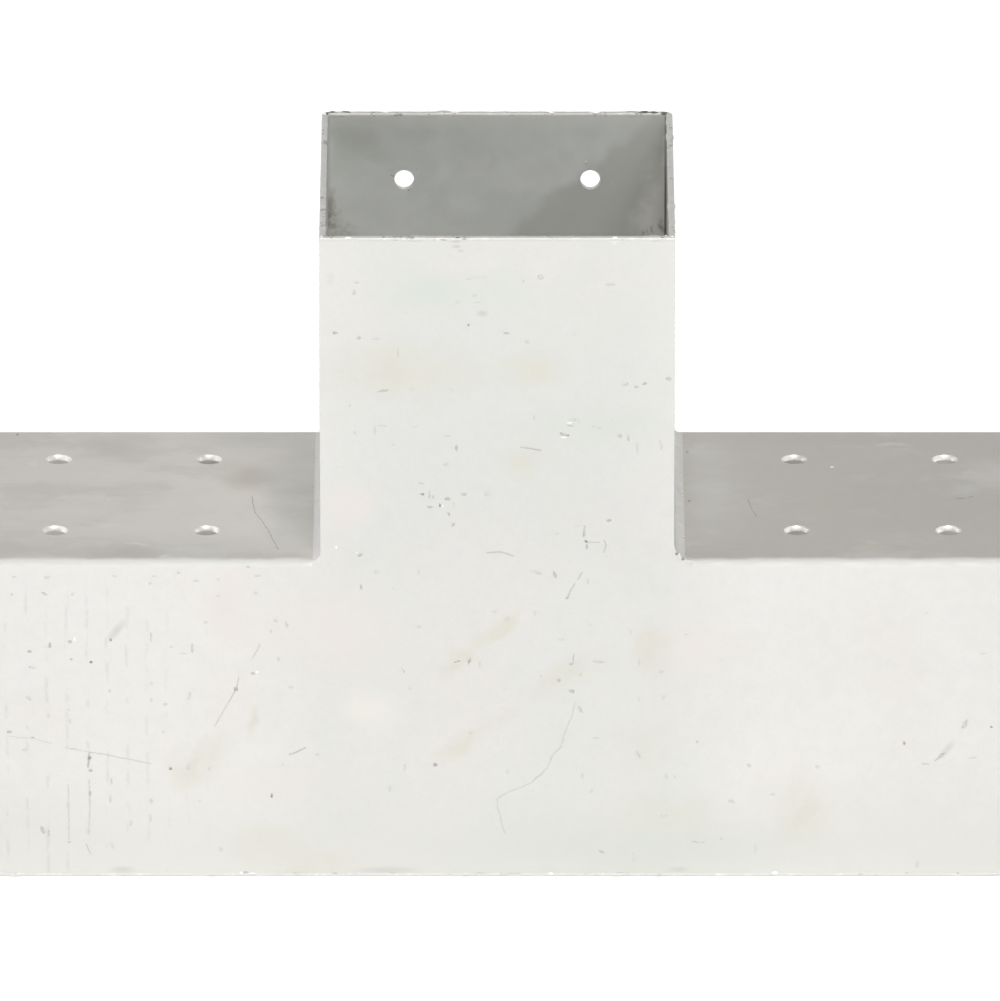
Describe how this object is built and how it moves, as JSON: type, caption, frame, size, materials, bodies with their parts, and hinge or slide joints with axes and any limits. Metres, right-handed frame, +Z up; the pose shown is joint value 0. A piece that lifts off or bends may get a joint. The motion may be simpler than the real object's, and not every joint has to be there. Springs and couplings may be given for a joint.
{
  "type": "post connector",
  "caption": "T-shaped galvanised steel post connector: a square sleeve holds a post on an inverted channel that straddles a beam, with screw holes in the arm plates and the sleeve.",
  "frame": {"origin": "on the floor under the middle of the sleeve, level with the cut lower edges of the channel's walls", "axes": "+X along the channel through both arms, -Y is the front wall, +Z up along the sleeve"},
  "size_m": [0.3, 0.094, 0.183],
  "materials": {
    "galvanised_steel": "hot-dip galvanised, pale and satin, cloudy with small specks"
  },
  "bodies": {
    "root": {"post_connector": "galvanised_steel"}
  },
  "joints": []
}
